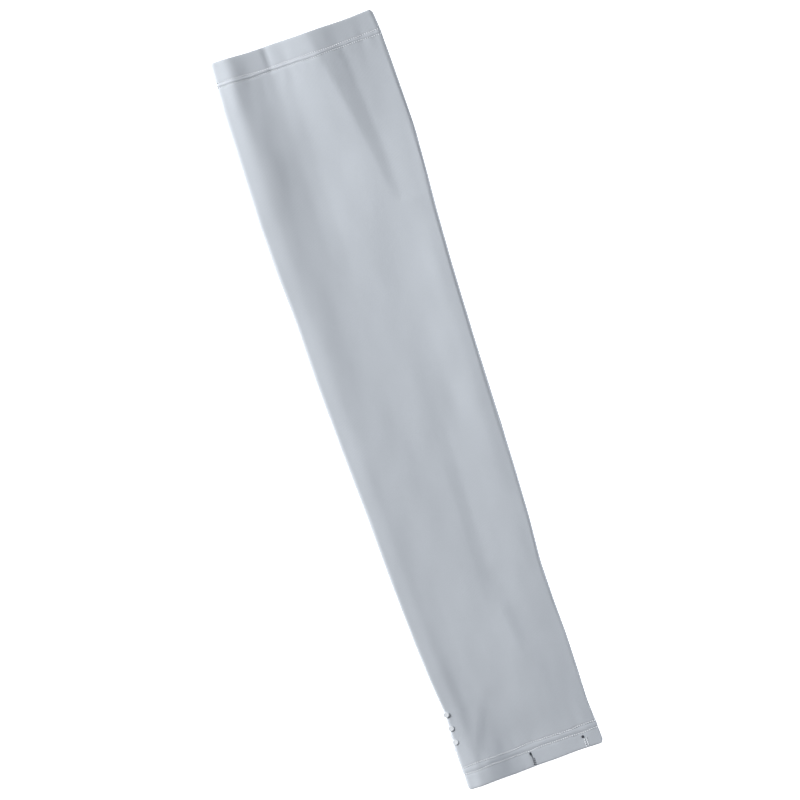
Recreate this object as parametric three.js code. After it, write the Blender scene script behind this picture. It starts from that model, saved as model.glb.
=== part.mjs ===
// Knitted arm sleeve with a thumb slot, laid flat on a table.
//
// X runs across the sleeve, +Y towards the upper-arm opening, +Z up, in millimetres.
// The back-of-hand side faces up. The palm side lies on the table: it carries the
// thumb slot with its welt, the flatlock seam and the field of grip dots.
// The origin is on the table, under the middle of the whole sleeve.

import * as THREE from "three";

const { lerp, clamp, smoothstep } = THREE.MathUtils;

// Sizes.

// The tube, laid flat.
const sleeveLength = 450;
const armWidth = 104.2; // its widest place, a little below the upper-arm opening
const handWidth = 85.3; // at the hand opening
const crownHeight = 15; // highest place of the upper layer
const edgeHeight = 4; // height of the outermost line of each rolled side edge
const edgeRun = 6; // how far in from the side the palm side meets the table
const edgeFullness = 3.2; // power of the upper layer's curve across the sleeve

// The knit, and the pieces on it.
const clothThickness = 1;
const hemThickness = 2 * clothThickness; // the cloth is folded back on itself
const touchGap = 0.3; // between two pieces that touch
const tableGap = 0.2; // under what is raised on the palm side

// Hems.
const armHemDepth = 15.6;
const handHemDepth = 14.4;
const hemLip = 0.8; // rounding of the folded mouth edge
const armMouthDip = 1.2; // how far the middle of the arm mouth sits back from its corners
const handMouthSkew = 0.75; // how far each corner of the hand mouth leans out or in
const mouthReach = 60; // length over which the mouths' lines fade into the tube

// Flatlock seam along the +X edge.
const seamInset = 7.6; // from the side edge to the seam's centre line
const seamWidth = 6.4;
const seamThickness = 0.6;

// Thumb slot, measured from the hand edge and in from the +X edge.
const slotHandEnd = 41;
const slotArmEnd = 93.3;
const slotInsetHand = 28;
const slotInsetArm = 21.8;
const slotOpeningSeamSide = 5.6; // how far the welt bows away from the slot's line
const slotOpeningPalmSide = 3;

// Welt: the folded strip that finishes the slot, from the seam down to the hand hem.
const weltWidth = 8.4;
const weltThickness = 0.8;
const weltTop = 125.5; // from the hand edge to where it leaves the seam
const weltTipWidth = 1.6;
const weltHemInset = 26.8;
const weltHemWidth = 11;

// Grip dots: a slanting grid, counted from the dot that wraps over the -X edge. Across, it
// fills the palm as far as the welt.
const dotDiameter = 3.4;
const dotHeight = 0.7;
const dotTopShare = 0.8; // top of a dot as a share of its diameter
const dotRowAlong = 4.4; // from row to row, towards the hand
const dotStepAlong = 3.9; // from dot to dot in a row, towards the hand
const dotWeltClearance = 12; // from the welt to the nearest dot's centre
const palmField = handWidth - weltHemInset - dotWeltClearance;
const dotRowAcross = 0.08 * palmField; // from row to row, towards the -X edge
const dotStepAcross = 0.069 * palmField; // from dot to dot in a row, away from that edge
const edgeDotFromHand = 45.6;
const edgeDotWrap = 0.8; // how far round the -X edge its centre lies

// Label inside the hand hem, under the back of the hand.
const labelWidth = 31.8;
const labelDepth = 7;
const labelThickness = 0.5;
const labelSetback = 1.5; // from the hand edge
const labelCentreX = 14.4; // across, from the middle of the hand mouth

// Tables.

// The tube's sections. along: share of the length, from the arm mouth. taper: 0 is as wide
// as the arm, 1 as the hand. shift: sideways, share of the width. crown: share of its height.
const sections = [
  { along: 0.0, taper: 0.233, shift: 0.004, crown: 0.88 },
  { along: 0.03, taper: 0.148, shift: 0.006, crown: 0.89 },
  { along: 0.07, taper: 0.063, shift: 0.002, crown: 0.92 },
  { along: 0.12, taper: 0.026, shift: 0.001, crown: 0.95 },
  { along: 0.165, taper: 0.0, shift: -0.001, crown: 0.97 },
  { along: 0.22, taper: 0.053, shift: -0.01, crown: 0.99 },
  { along: 0.28, taper: 0.185, shift: -0.017, crown: 1.0 },
  { along: 0.35, taper: 0.328, shift: -0.021, crown: 1.0 },
  { along: 0.44, taper: 0.413, shift: -0.027, crown: 1.0 },
  { along: 0.53, taper: 0.534, shift: -0.028, crown: 0.98 },
  { along: 0.62, taper: 0.667, shift: -0.024, crown: 0.96 },
  { along: 0.69, taper: 0.783, shift: -0.029, crown: 0.94 },
  { along: 0.75, taper: 0.937, shift: -0.037, crown: 0.92 },
  { along: 0.8, taper: 0.984, shift: -0.032, crown: 0.9 },
  { along: 0.85, taper: 1.03, shift: -0.021, crown: 0.88 },
  { along: 0.9, taper: 1.116, shift: -0.018, crown: 0.86 },
  { along: 0.94, taper: 1.135, shift: -0.019, crown: 0.84 },
  { along: 0.97, taper: 1.074, shift: -0.012, crown: 0.83 },
  { along: 1.0, taper: 1.0, shift: 0.0, crown: 0.83 },
];

// Folds in the upper layer. from, to: shares of the length. across, acrossEnd: centre line,
// shares of the width from the -X edge. reach, reachEnd: half width, same shares.
// depth, depthEnd: shares of the crown height; a ridge is negative.
const folds = [
  { name: "arm valley", from: -0.06, to: 0.235, across: 0.72, acrossEnd: 0.79,
    reach: 0.13, reachEnd: 0.045, depth: 0.2, depthEnd: 0.1 },
  { name: "arm hollow", from: 0.02, to: 0.36, across: 0.21, acrossEnd: 0.33,
    reach: 0.13, reachEnd: 0.16, depth: 0.08, depthEnd: 0.05 },
  { name: "arm ridge", from: -0.08, to: 0.2, across: 0.5, acrossEnd: 0.58,
    reach: 0.2, reachEnd: 0.16, depth: -0.06, depthEnd: -0.02 },
  { name: "forearm crease", from: 0.43, to: 0.79, across: 0.53, acrossEnd: 0.56,
    reach: 0.06, reachEnd: 0.07, depth: 0.05, depthEnd: 0.07 },
  { name: "wrist hollow", from: 0.79, to: 0.96, across: 0.12, acrossEnd: 0.24,
    reach: 0.15, reachEnd: 0.12, depth: 0.08, depthEnd: 0.07 },
  { name: "thumb hollow", from: 0.74, to: 0.92, across: 0.78, acrossEnd: 0.86,
    reach: 0.12, reachEnd: 0.14, depth: 0.06, depthEnd: 0.06 },
];

// Rows of grip dots. row: counted towards the hand from the row of the edge dot.
// first: steps from the edge dot's line. dots: how many.
const dotRows = [
  { row: -8, first: 5, dots: 1 },
  { row: -7, first: 4, dots: 2 },
  { row: -6, first: 3, dots: 4 },
  { row: -5, first: 3, dots: 3 },
  { row: -5, first: 9, dots: 1 },
  { row: -4, first: 7, dots: 3 },
  { row: -3, first: 5, dots: 4 },
  { row: -2, first: 0, dots: 8 },
  { row: -1, first: 0, dots: 7 },
  { row: 0, first: 0, dots: 6 },
  { row: 1, first: 1, dots: 4 },
  { row: 2, first: 2, dots: 2 },
];

// How finely the meshes are cut.
const ringSpacing = 11;
const slotRings = 9;
const sideColumns = 3; // round each rolled edge, above and below
const seamSideColumns = 3; // palm side, between the +X edge and the slot
const palmColumns = 6; // palm side, from the slot to the -X edge
const backColumns = 13; // upper layer, between the rolled edges
const dotSides = 10;

// The surface.

const fromHand = (distance) => 1 - distance / sleeveLength;

const sectionCurve = new THREE.CubicInterpolant(
  sections.map((row) => row.along),
  sections.flatMap((row) => [row.taper, row.shift, row.crown]),
  3,
);

// Left and right edges and crown of the tube at a share of its length.
function tubeAt(along) {
  const [taper, shift, crown] = sectionCurve.evaluate(clamp(along, 0, 1));
  const width = lerp(armWidth, handWidth, taper);
  const centre = width * shift;
  return { width, centre, crown: crown * crownHeight };
}

// How far the folds push the upper layer down.
function foldDepth(along, across) {
  let depth = 0;
  for (const fold of folds) {
    const share = (along - fold.from) / (fold.to - fold.from);
    if (share <= 0 || share >= 1) continue;
    const offset = Math.abs(across - lerp(fold.across, fold.acrossEnd, share));
    const reach = lerp(fold.reach, fold.reachEnd, share);
    if (offset >= reach) continue;
    const hollow = 0.5 + 0.5 * Math.cos((Math.PI * offset) / reach);
    const fade = Math.sin(Math.PI * share) ** 0.5;
    depth += lerp(fold.depth, fold.depthEnd, share) * crownHeight * hollow * fade;
  }
  return depth;
}

// How far the palm side is lifted off the table: under the dots and the welt, and in a
// channel along the seam.
const palmLift = touchGap + Math.max(dotHeight, weltThickness, seamThickness) + tableGap;
const seamLift = touchGap + seamThickness + tableGap;
const handMouthLift = 0.35; // the hand mouth's edge droops to this share of the lift
const liftBlend = 8;
const channelBlend = 3;
const channelMargin = 1.5; // beside the seam

function tableLift(along, fromSeamEdge) {
  const handDistance = (1 - along) * sleeveLength;
  const palm =
    lerp(handMouthLift, 1, smoothstep(handDistance, 0, handHemDepth)) *
    (1 - smoothstep(handDistance, weltTop, weltTop + 2 * liftBlend));
  const pastSeam = fromSeamEdge - seamInset - seamWidth / 2 - channelMargin;
  const channel =
    (1 - smoothstep(pastSeam, 0, channelBlend)) *
    smoothstep(handDistance, 0, handHemDepth) *
    smoothstep(along * sleeveLength, 0, armHemDepth);
  return Math.max(palmLift * palm, seamLift * channel);
}

// The mouths' edges are not quite square to the sleeve.
function mouthShift(along, acrossCentre) {
  const armShare = 1 - smoothstep(along * sleeveLength, 0, mouthReach);
  const handShare = 1 - smoothstep((1 - along) * sleeveLength, 0, mouthReach);
  const dip = armMouthDip * (acrossCentre ** 2 - 1) * armShare;
  return dip + handMouthSkew * acrossCentre * handShare;
}

// One section as a fine line with its running length, from the +X edge under the palm side
// to the -X edge and back over the upper layer.
const arcSteps = 14;
const flatSteps = 24;
const archSteps = 72;
const sectionCache = new Map();

function sectionLine(along) {
  const key = along.toFixed(6);
  if (sectionCache.has(key)) return sectionCache.get(key);
  const tube = tubeAt(along);
  const half = tube.width / 2;
  const points = [];
  const lifted = (x, z) => {
    const lift = tableLift(along, tube.centre + half - x);
    points.push(new THREE.Vector2(x, z + lift * (1 - z / edgeHeight)));
  };
  for (let i = 0; i < arcSteps; i += 1) {
    const angle = (i / arcSteps) * (Math.PI / 2);
    const x = tube.centre + half - edgeRun * (1 - Math.cos(angle));
    lifted(x, edgeHeight * (1 - Math.sin(angle)));
  }
  for (let i = 0; i < flatSteps; i += 1) {
    lifted(lerp(tube.centre + half - edgeRun, tube.centre - half + edgeRun, i / flatSteps), 0);
  }
  for (let i = 0; i < arcSteps; i += 1) {
    const angle = (1 - i / arcSteps) * (Math.PI / 2);
    const x = tube.centre - half + edgeRun * (1 - Math.cos(angle));
    lifted(x, edgeHeight * (1 - Math.sin(angle)));
  }
  for (let i = 0; i <= archSteps; i += 1) {
    const angle = Math.PI * (1 - i / archSteps);
    const run = Math.sign(Math.cos(angle)) * Math.abs(Math.cos(angle)) ** (2 / edgeFullness);
    const across = 0.5 + 0.5 * run;
    const rise = (tube.crown - edgeHeight) * Math.sin(angle);
    const pushed = foldDepth(along, across) * Math.min(1, Math.sin(angle) * 1.6);
    points.push(new THREE.Vector2(tube.centre + half * run, edgeHeight + rise - pushed));
  }
  const lengths = [0];
  for (let i = 1; i < points.length; i += 1) {
    lengths.push(lengths[i - 1] + points[i].distanceTo(points[i - 1]));
  }
  const line = { tube, points, lengths, total: lengths.at(-1) };
  line.farEdge = lengths[2 * arcSteps + flatSteps];
  sectionCache.set(key, line);
  return line;
}

// A point of the outer surface at a running length from the +X edge, with the direction
// pointing out of the cloth.
function surfaceAt(along, running) {
  const { points, lengths, total, tube } = sectionLine(along);
  const place = ((running % total) + total) % total;
  let low = 0;
  let high = lengths.length - 1;
  while (high - low > 1) {
    const middle = (low + high) >> 1;
    if (lengths[middle] <= place) low = middle;
    else high = middle;
  }
  const share = (place - lengths[low]) / (lengths[high] - lengths[low]);
  const last = points.length - 1;
  const chord = (index) => {
    const before = index === 0 ? points[last - 1] : points[index - 1];
    const after = index === last ? points[1] : points[index + 1];
    return after.clone().sub(before).normalize();
  };
  const spot = points[low].clone().lerp(points[high], share);
  const tangent = chord(low).lerp(chord(high), share).normalize();
  const y = (0.5 - along) * sleeveLength;
  const acrossCentre = (spot.x - tube.centre) / (tube.width / 2);
  return {
    point: new THREE.Vector3(spot.x, y + mouthShift(along, acrossCentre), spot.y),
    outward: new THREE.Vector3(-tangent.y, 0, tangent.x),
  };
}

const offsetPoint = ({ point, outward }, distance) =>
  point.clone().addScaledVector(outward, distance);

// Mesh making.

// Collects corners and faces of one closed body.
class ClosedBody {
  positions = [];
  faces = [];

  corner(point) {
    this.positions.push(point.x, point.y, point.z);
    return this.positions.length / 3 - 1;
  }

  quad(a, b, c, d) {
    if (a !== b && b !== c && c !== a) this.faces.push(a, b, c);
    if (a !== c && c !== d && d !== a) this.faces.push(a, c, d);
  }

  geometry() {
    const geometry = new THREE.BufferGeometry();
    geometry.setAttribute("position", new THREE.Float32BufferAttribute(this.positions, 3));
    geometry.setIndex(this.faces);
    geometry.computeVertexNormals();
    return geometry;
  }
}

const knit = new THREE.MeshStandardMaterial({ color: 0xb5bbc2, roughness: 0.85, metalness: 0 });
const thread = new THREE.MeshStandardMaterial({ color: 0xc3c8ce, roughness: 0.7, metalness: 0 });
const silicone = new THREE.MeshStandardMaterial({ color: 0xccd1d6, roughness: 0.35, metalness: 0 });
const navyWeave = new THREE.MeshStandardMaterial({ color: 0x2b3440, roughness: 0.8, metalness: 0 });

const sleeve = new THREE.Group();

function addPiece(name, geometry, material) {
  const mesh = new THREE.Mesh(geometry, material);
  mesh.name = name;
  sleeve.add(mesh);
  return mesh;
}

const spread = (start, end, count) =>
  Array.from({ length: count }, (_, i) => lerp(start, end, i / count));

// Thumb slot.

const slotFrom = fromHand(slotArmEnd);
const slotTo = fromHand(slotHandEnd);

// The slot's line across the palm side, carried on past both ends, and how far it is open.
function slotLine(along) {
  const share = clamp((along - slotFrom) / (slotTo - slotFrom), 0, 1);
  return {
    inset: lerp(slotInsetArm, slotInsetHand, share),
    open: Math.sin(Math.PI * share),
  };
}

// Running lengths of the mesh's columns round one section. The column at the slot has two
// places, one on each side of the opening.
function columnsAt(along) {
  const line = sectionLine(along);
  const slot = slotLine(along);
  const palmStart = edgeRun * 1.3;
  const seamLip = slot.inset - slotOpeningSeamSide * slot.open;
  const palmLip = slot.inset + slotOpeningPalmSide * slot.open;
  const palmEnd = line.farEdge - palmStart;
  const backStart = line.farEdge + palmStart;
  const backEnd = line.total - palmStart;
  return {
    before: [...spread(0, palmStart, sideColumns), ...spread(palmStart, seamLip, seamSideColumns)],
    slit: [seamLip, palmLip],
    after: [
      ...spread(palmLip, palmEnd, palmColumns).slice(1),
      ...spread(palmEnd, line.farEdge, sideColumns),
      ...spread(line.farEdge, backStart, sideColumns),
      ...spread(backStart, backEnd, backColumns),
      ...spread(backEnd, line.total, sideColumns),
    ],
  };
}

// Tube walls.

// One ring of corners round the tube, `inward` below the outer surface. Where the ring
// crosses the slot, the slot's column has two corners; elsewhere they are the same one.
function addRing(body, along, inward, pullIn = 0) {
  const columns = columnsAt(along);
  const cornerAt = (running) => {
    const point = offsetPoint(surfaceAt(along, running), -inward);
    point.y += pullIn;
    return body.corner(point);
  };
  const single = (running) => {
    const index = cornerAt(running);
    return [index, index];
  };
  const isOpen = slotLine(along).open > 1e-6;
  const slit = isOpen ? columns.slit.map(cornerAt) : single(columns.slit[0]);
  return [...columns.before.map(single), slit, ...columns.after.map(single)];
}

// Joins two neighbouring rings. `flip` turns the faces for an inner wall.
function joinRings(body, ring, next, flip) {
  for (let i = 0; i < ring.length; i += 1) {
    const j = (i + 1) % ring.length;
    const corners = [ring[i][1], next[i][1], next[j][0], ring[j][0]];
    body.quad(...(flip ? corners.reverse() : corners));
  }
}

// A stretch of tube wall between two places along the sleeve.
function tubeWall(stations, thickness) {
  const body = new ClosedBody();
  const outer = stations.map((along) => addRing(body, along, 0));
  const inner = stations.map((along) => addRing(body, along, thickness));
  for (let i = 0; i + 1 < stations.length; i += 1) {
    joinRings(body, outer[i], outer[i + 1], false);
    joinRings(body, inner[i], inner[i + 1], true);
  }
  joinRings(body, inner[0], outer[0], false);
  joinRings(body, outer.at(-1), inner.at(-1), false);

  const slitAt = outer[0].length - columnsAt(stations[0]).after.length - 1;
  for (let i = 0; i + 1 < stations.length; i += 1) {
    const [seamOut, palmOut] = outer[i][slitAt];
    const [nextSeamOut, nextPalmOut] = outer[i + 1][slitAt];
    if (seamOut === palmOut && nextSeamOut === nextPalmOut) continue;
    const [seamIn, palmIn] = inner[i][slitAt];
    const [nextSeamIn, nextPalmIn] = inner[i + 1][slitAt];
    body.quad(seamOut, nextSeamOut, nextSeamIn, seamIn);
    body.quad(palmIn, nextPalmIn, nextPalmOut, palmOut);
  }
  return body.geometry();
}

// A folded hem: two layers with a rounded edge at the mouth.
function hemBand(mouth, inside, thickness) {
  const body = new ClosedBody();
  const outwards = mouth < inside ? 1 : -1;
  const lipShare = (hemLip / sleeveLength) * outwards;
  const stations = [mouth + lipShare, (mouth + inside) / 2, inside];
  const outer = stations.map((along) => addRing(body, along, 0));
  const inner = stations.map((along) => addRing(body, along, thickness)).reverse();
  const edge = [
    addRing(body, mouth, thickness * 0.75),
    addRing(body, mouth, thickness * 0.25),
  ];
  const rings = [...outer, ...inner, ...edge];
  for (let i = 0; i < rings.length; i += 1) {
    joinRings(body, rings[i], rings[(i + 1) % rings.length], outwards < 0);
  }
  return body.geometry();
}

const armHemEnd = armHemDepth / sleeveLength;
const handHemEnd = fromHand(handHemDepth);
const gapShare = touchGap / sleeveLength;

const bodyFrom = armHemEnd + gapShare;
const bodyTo = handHemEnd - gapShare;
const stretch = (from, to) =>
  spread(from, to, Math.max(2, Math.round(((to - from) * sleeveLength) / ringSpacing)));
const bodyStations = [
  ...stretch(bodyFrom, slotFrom),
  ...spread(slotFrom, slotTo, slotRings),
  ...stretch(slotTo, bodyTo),
  bodyTo,
];

addPiece("sleeve_body", tubeWall(bodyStations, clothThickness), knit);
addPiece("arm_hem", hemBand(0, armHemEnd, hemThickness), knit);
addPiece("hand_hem", hemBand(1, handHemEnd, hemThickness), knit);

// Strips on the cloth.

// A place on the flat faces between the tube's corners, so that what lies on the cloth
// keeps its gap to it.
function clothAt(along, running) {
  const upper = bodyStations.findLastIndex((station) => station <= along + 1e-9);
  const index = clamp(upper, 0, bodyStations.length - 2);
  const [start, end] = [bodyStations[index], bodyStations[index + 1]];
  const from = chordAt(start, running);
  const to = chordAt(end, running);
  const share = clamp((along - start) / (end - start), 0, 1);
  return {
    point: from.point.lerp(to.point, share),
    outward: from.outward.lerp(to.outward, share).normalize(),
  };
}

// The same in one section, on the straight lines between its corners.
function chordAt(along, running) {
  const { before, slit, after } = columnsAt(along);
  const places = [...before, ...slit, ...after, sectionLine(along).total];
  const index = places.findIndex((place, i) => place <= running && running < places[i + 1]);
  const from = surfaceAt(along, places[index]);
  const to = surfaceAt(along, places[index + 1]);
  const share = (running - places[index]) / (places[index + 1] - places[index]);
  return {
    point: from.point.lerp(to.point, share),
    outward: from.outward.lerp(to.outward, share).normalize(),
  };
}

// A strip along the cloth. edges(along) gives the running lengths of its two sides; it lies
// `gap` off the surface and is `thickness` thick.
function surfaceStrip(stations, edges, steps, gap, thickness, surface = clothAt) {
  const body = new ClosedBody();
  const ringAt = (along) => {
    const [start, end] = edges(along);
    const places = Array.from({ length: steps + 1 }, (_, i) => lerp(start, end, i / steps));
    const layer = (distance) =>
      places.map((place) => body.corner(offsetPoint(surface(along, place), distance)));
    return [...layer(gap + thickness), ...layer(gap).reverse()];
  };
  const rings = stations.map(ringAt);
  for (let i = 0; i + 1 < rings.length; i += 1) {
    for (let j = 0; j < rings[i].length; j += 1) {
      const k = (j + 1) % rings[i].length;
      body.quad(rings[i][j], rings[i + 1][j], rings[i + 1][k], rings[i][k]);
    }
  }
  for (let j = 0; j < steps; j += 1) {
    const opposite = 2 * steps + 1 - j;
    const first = rings[0];
    const last = rings.at(-1);
    body.quad(first[j], first[j + 1], first[opposite - 1], first[opposite]);
    body.quad(last[opposite], last[opposite - 1], last[j + 1], last[j]);
  }
  return body.geometry();
}

const clothStations = (from, to) => [
  from,
  ...bodyStations.filter((along) => along > from + gapShare && along < to - gapShare),
  to,
];

// Running length on the palm side of a place measured in from the +X edge.
const cornerExtra = Math.hypot(edgeRun, edgeHeight) - edgeRun;
const inward = (inset) => inset + cornerExtra;

addPiece(
  "flatlock_seam",
  surfaceStrip(
    clothStations(bodyFrom, bodyTo),
    () => [inward(seamInset - seamWidth / 2), inward(seamInset + seamWidth / 2)],
    4,
    touchGap,
    seamThickness,
  ),
  thread,
);

// The welt's side towards the slot, and its width, all the way down.
const weltFrom = fromHand(weltTop);
const seamInnerSide = inward(seamInset + seamWidth / 2) + touchGap;

function weltEdges(along) {
  const slot = slotLine(along);
  const aboveSlot = clamp((slotFrom - along) / (slotFrom - weltFrom), 0, 1);
  const belowSlot = clamp((along - slotTo) / (bodyTo - slotTo), 0, 1);
  const besideSlot = slot.inset - slotOpeningSeamSide * slot.open;
  const towardsSeam = lerp(besideSlot, seamInnerSide + weltTipWidth, aboveSlot);
  const slotSide = lerp(towardsSeam, weltHemInset, belowSlot);
  const width = lerp(lerp(weltWidth, weltTipWidth, aboveSlot), weltHemWidth, belowSlot);
  return [Math.max(slotSide - width, seamInnerSide), slotSide];
}

addPiece(
  "thumb_welt",
  surfaceStrip(clothStations(weltFrom, bodyTo), weltEdges, 3, touchGap, weltThickness),
  knit,
);

// Running length of the upper layer's inner side at a place across the hand mouth.
function backRunningAt(along, x) {
  const { points, lengths, farEdge } = sectionLine(along);
  for (let i = 1; i < points.length; i += 1) {
    if (lengths[i] > farEdge && points[i].x >= x) return lengths[i];
  }
  return lengths.at(-1);
}

const labelNear = fromHand(labelSetback);
const labelFar = fromHand(labelSetback + labelDepth);
addPiece(
  "inner_label",
  surfaceStrip(
    [labelFar, (labelFar + labelNear) / 2, labelNear],
    (along) => [
      backRunningAt(along, labelCentreX - labelWidth / 2),
      backRunningAt(along, labelCentreX + labelWidth / 2),
    ],
    8,
    -hemThickness - touchGap - labelThickness,
    labelThickness,
    surfaceAt,
  ),
  navyWeave,
);

// Grip dots.

const dotRadius = dotDiameter / 2;
const dotShape = new THREE.LatheGeometry(
  [
    new THREE.Vector2(0, 0),
    new THREE.Vector2(dotRadius, 0),
    new THREE.Vector2(dotRadius * dotTopShare, dotHeight),
    new THREE.Vector2(0, dotHeight),
  ],
  dotSides,
);

let dotNumber = 0;
for (const { row, first, dots } of dotRows) {
  for (let step = first; step < first + dots; step += 1) {
    const handDistance = edgeDotFromHand - row * dotRowAlong - step * dotStepAlong;
    const fromFarEdge = step * dotStepAcross - row * dotRowAcross - edgeDotWrap;
    const along = fromHand(handDistance);
    const seat = clothAt(along, sectionLine(along).farEdge - fromFarEdge);
    dotNumber += 1;
    const name = `grip_dot_${String(dotNumber).padStart(2, "0")}`;
    const dot = addPiece(name, dotShape, silicone);
    dot.position.copy(offsetPoint(seat, touchGap));
    dot.quaternion.setFromUnitVectors(new THREE.Vector3(0, 1, 0), seat.outward);
  }
}

// Seat on the table.

sleeve.updateMatrixWorld(true);
const bounds = new THREE.Box3().setFromObject(sleeve, true);
const middle = bounds.getCenter(new THREE.Vector3());
sleeve.position.set(-middle.x, -middle.y, -bounds.min.z);
sleeve.updateMatrixWorld(true);

export default sleeve;
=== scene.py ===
# %% [markdown]
# # A knitted arm sleeve, laid flat
#
# The sleeve is a tube of thin stretch knit that lies on a table with the back of the hand up. It narrows
# from the upper arm to the hand, and has a folded hem at each end. The palm side carries a thumb slot
# with its welt, one flatlock seam and a field of silicone grip dots.
#
# The construction model is loaded first, as a fixed frame. Everything made here lies where its solids lie.

# %% Load the construction model
import math

import bpy
import numpy as np
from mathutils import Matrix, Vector, noise


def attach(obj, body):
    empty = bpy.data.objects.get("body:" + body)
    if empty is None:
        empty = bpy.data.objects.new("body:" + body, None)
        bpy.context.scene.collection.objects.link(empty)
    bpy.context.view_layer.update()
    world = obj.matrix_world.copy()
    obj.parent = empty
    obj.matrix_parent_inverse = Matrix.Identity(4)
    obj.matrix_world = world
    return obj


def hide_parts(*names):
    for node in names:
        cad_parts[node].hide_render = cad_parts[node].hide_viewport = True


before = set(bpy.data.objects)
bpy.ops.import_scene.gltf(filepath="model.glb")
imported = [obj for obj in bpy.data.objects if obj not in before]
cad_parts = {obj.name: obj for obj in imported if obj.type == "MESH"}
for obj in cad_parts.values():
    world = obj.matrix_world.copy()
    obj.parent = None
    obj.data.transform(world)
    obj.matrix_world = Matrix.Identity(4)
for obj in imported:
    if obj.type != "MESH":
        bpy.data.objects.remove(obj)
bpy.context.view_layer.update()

bpy.ops.object.select_all(action="DESELECT")
MM = 0.001

# %% [markdown]
# ## Sizes
#
# The sizes are the ones that the solids were built from, in millimetres. `along` always means a share of
# the sleeve's length from the upper-arm mouth, and a running length is measured round the tube: from the
# +X edge under the palm side to the -X edge, and back over the upper layer.

# %% Named sizes
SLEEVE_LENGTH = 450.0
ARM_WIDTH = 104.2
HAND_WIDTH = 85.3
EDGE_HEIGHT = 8.0  # the widest line of the tube
EDGE_RUN = 6.0
SOLID_EDGE_HEIGHT = 4.0  # the same in the solids, where running lengths were measured
EDGE_TURN = 0.9  # the cloth turns over within this distance of each edge
ORIGIN = np.array([0.267, 0.375, 0.0])  # the solids are centred on their box

CLOTH_THICKNESS = 0.7
ARM_HEM_DEPTH = 15.6
HAND_HEM_DEPTH = 14.4
ARM_MOUTH_DIP = 1.2
HAND_MOUTH_SKEW = 0.75
MOUTH_REACH = 60.0
MOUTH_CORNER = 1.8  # radius of the mouths' corners
CORNER_REACH = 6.0

SEAM_INSET = 7.6
SEAM_WIDTH = 6.4
SEAM_THICKNESS = 0.6
STRIP_SINK = 0.15  # the seam and the welt lie this deep in the knit

SLOT_HAND_END = 41.0
SLOT_ARM_END = 93.3
SLOT_INSET_HAND = 28.0
SLOT_INSET_ARM = 21.8
SLOT_SEAM_SIDE = 5.6
SLOT_PALM_SIDE = 3.0

WELT_WIDTH = 8.4
WELT_THICKNESS = 1.15
WELT_TOP = 125.5
WELT_TIP_WIDTH = 1.6
WELT_HEM_INSET = 26.8
WELT_HEM_WIDTH = 11.0

PALM_LIFT = 1.3  # how far the dots and the welt hold the palm side off the table
SEAM_LIFT = 1.1
print("sleeve:", SLEEVE_LENGTH, "mm long,", ARM_WIDTH, "to", HAND_WIDTH, "mm wide")

# %% [markdown]
# ## Camera, lights and table
#
# The photograph looks straight down, with the sleeve leaning to the left at its upper-arm end. The camera
# is set so that a millimetre takes the same number of pixels as there. A flat thing seen from above shows
# its folds only by shading, so the main light stands low on the left, where a slope of a few degrees
# already changes the tone. A weaker one low on the right keeps that edge open, and a faint top light and
# sky fill the rest. The table glows a little, so that it stays as white as in the photograph.

# %% Camera
PIXEL = 0.584  # millimetres to a pixel of the 800 pixel wide photograph
LEAN = math.radians(-18.77)
CENTRE_SHIFT = (14.0, -1.0)  # pixels: the sleeve's middle lies right of and below the picture's
image_right = Vector((math.cos(LEAN), math.sin(LEAN), 0))
image_up = Vector((-math.sin(LEAN), math.cos(LEAN), 0))

LENS = 180.0
SENSOR = 36.0
camera_height = PIXEL * 800 * MM * LENS / SENSOR
bpy.ops.object.camera_add(rotation=(0, 0, LEAN))
camera = bpy.context.object
camera.name = "photo_camera"
camera.data.lens = LENS
camera.data.sensor_width = SENSOR
middle = Vector((ORIGIN[0], ORIGIN[1], 0)) * MM
offset = (image_right * CENTRE_SHIFT[0] + image_up * CENTRE_SHIFT[1]) * PIXEL * MM
camera.location = middle - offset + Vector((0, 0, camera_height + EDGE_HEIGHT * MM))
bpy.context.scene.camera = camera
print("camera is", round(camera.location.z, 3), "m up")

# %% Lights
def soft_light(name, direction, distance, size, power, colour):
    """A round soft light at a distance from the sleeve's middle, facing it."""
    place = Vector(direction).normalized() * distance
    bpy.ops.object.light_add(type="AREA", location=place)
    light = bpy.context.object
    light.name = name
    light.data.shape = "DISK"
    light.data.size = size
    light.data.energy = power
    light.data.color = colour
    light.rotation_euler = (-place).to_track_quat("-Z", "Y").to_euler()
    return light


def set_inputs(node, values):
    """Sets inputs of a shader node by their names."""
    for name, value in values.items():
        node.inputs[name].default_value = value


up = Vector((0, 0, 1))
from_left = -image_right + image_up * 0.26 + up * 0.44
from_right = image_right - image_up * 0.1 + up * 0.20
from_top = up + image_up * 0.3
lights = [
    soft_light("left_softbox", from_left, distance=2.6, size=0.78, power=140.0, colour=(1.0, 0.995, 0.985)),
    soft_light("right_softbox", from_right, distance=1.3, size=0.5, power=13.0, colour=(0.97, 0.98, 1.0)),
    soft_light("top_softbox", from_top, distance=1.6, size=0.9, power=1.5, colour=(1.0, 1.0, 1.0)),
]

world = bpy.data.worlds.new("pale_studio")
world.use_nodes = True
set_inputs(world.node_tree.nodes["Background"], {"Color": (0.95, 0.97, 1.0, 1.0), "Strength": 0.12})
bpy.context.scene.world = world
bpy.context.scene.view_settings.view_transform = "Standard"
print("lights:", [light.name for light in lights])

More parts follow.
